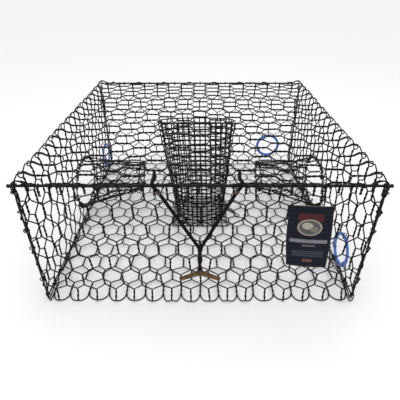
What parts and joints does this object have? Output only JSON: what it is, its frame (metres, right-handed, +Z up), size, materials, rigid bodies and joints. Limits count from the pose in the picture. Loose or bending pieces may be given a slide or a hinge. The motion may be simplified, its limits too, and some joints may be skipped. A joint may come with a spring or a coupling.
{
  "type": "wire crab trap",
  "caption": "Low square crab trap of hexagonal wire netting with a tapered entrance funnel in each side, a square-mesh bait well, escape rings and a roof edge held down by a corded hook.",
  "frame": {"origin": "middle of the base, on the surface the trap stands on", "axes": "+X to the right and +Y to the back as seen from the closure side, +Z up"},
  "size_m": [0.6214, 0.6238, 0.2789],
  "materials": {
    "netting": "satin",
    "wire": "satin",
    "hog_ring": "satin",
    "square_mesh": "satin",
    "shock_cord": "matte",
    "steel_hook": "satin",
    "ring_plastic": "satin",
    "tie": "matte",
    "bronze": "satin",
    "card": "matte"
  },
  "bodies": {
    "root": {"front_netting": "netting", "back_netting": "netting", "floor_netting": "netting", "left_netting": "netting", "right_netting": "netting", "roof_rear_netting": "netting", "roof_left_netting": "netting", "roof_right_netting": "netting", "left_funnel": "netting", "right_funnel": "netting", "front_rod": "wire", "back_top_wire": "wire", "left_bottom_wire": "wire", "right_bottom_wire": "wire", "lower_left_selvedge": "wire", "lower_right_selvedge": "wire", "upper_front_left_selvedge": "wire", "upper_front_right_selvedge": "wire", "upper_back_selvedge": "wire", "left_mouth_ring": "wire", "right_mouth_ring": "wire", "left_throat_ring": "wire", "right_throat_ring": "wire", "front_left_hog_rings": "hog_ring", "front_right_hog_rings": "hog_ring", "back_left_hog_rings": "hog_ring", "back_right_hog_rings": "hog_ring", "bottom_left_hog_rings": "hog_ring", "bottom_right_hog_rings": "hog_ring", "back_top_hog_rings": "hog_ring", "left_mouth_hog_rings": "hog_ring", "right_mouth_hog_rings": "hog_ring", "well_head_hog_rings": "hog_ring", "well_foot_clips": "hog_ring", "bait_door_hinge_clips": "hog_ring", "bait_well": "square_mesh", "left_cull_ring": "ring_plastic", "right_cull_ring": "ring_plastic", "back_cull_ring": "ring_plastic", "left_cull_ties": "tie", "right_cull_ties": "tie", "back_cull_ties": "tie"},
    "flap": {"roof_flap_netting": "netting", "flap_selvedge": "wire", "closure_left_loop": "shock_cord", "closure_right_loop": "shock_cord"},
    "closure": {"closure_left_leg": "shock_cord", "closure_right_leg": "shock_cord", "closure_left_crimp": "bronze", "closure_right_crimp": "bronze", "closure_knot": "shock_cord", "closure_stem": "shock_cord", "closure_hook": "bronze"},
    "bait_door": {"bait_door": "square_mesh"},
    "bait_catch": {"bait_door_cord": "shock_cord", "bait_door_crimp": "hog_ring", "bait_door_hook": "steel_hook"},
    "tag": {"hang_tag": "card", "tag_tie": "tie"}
  },
  "joints": [
    {"name": "flap_lift", "type": "hinge", "parent": "root", "child": "flap", "pos_m": [0, -0.06, 0.2705], "axis": [-1, 0, 0], "range_deg": [0, 32]},
    {"name": "closure_swing", "type": "hinge", "parent": "flap", "child": "closure", "pos_m": [0, -0.3122, 0.2575], "axis": [-1, 0, 0], "range_deg": [0, 115]},
    {"name": "bait_door_drop", "type": "hinge", "parent": "root", "child": "bait_door", "pos_m": [-0.06985, 0.009, 0.0028], "axis": [0, 1, 0], "range_deg": [0, 100]},
    {"name": "bait_catch_swing", "type": "hinge", "parent": "bait_door", "child": "bait_catch", "pos_m": [0.07305, 0.018, 0.0033], "axis": [0.679, 0.7341, 0], "range_deg": [0, 90]},
    {"name": "tag_swing", "type": "hinge", "parent": "root", "child": "tag", "pos_m": [0.1829, -0.3069, 0.243], "axis": [-1, 0, 0], "range_deg": [0, 75]}
  ]
}
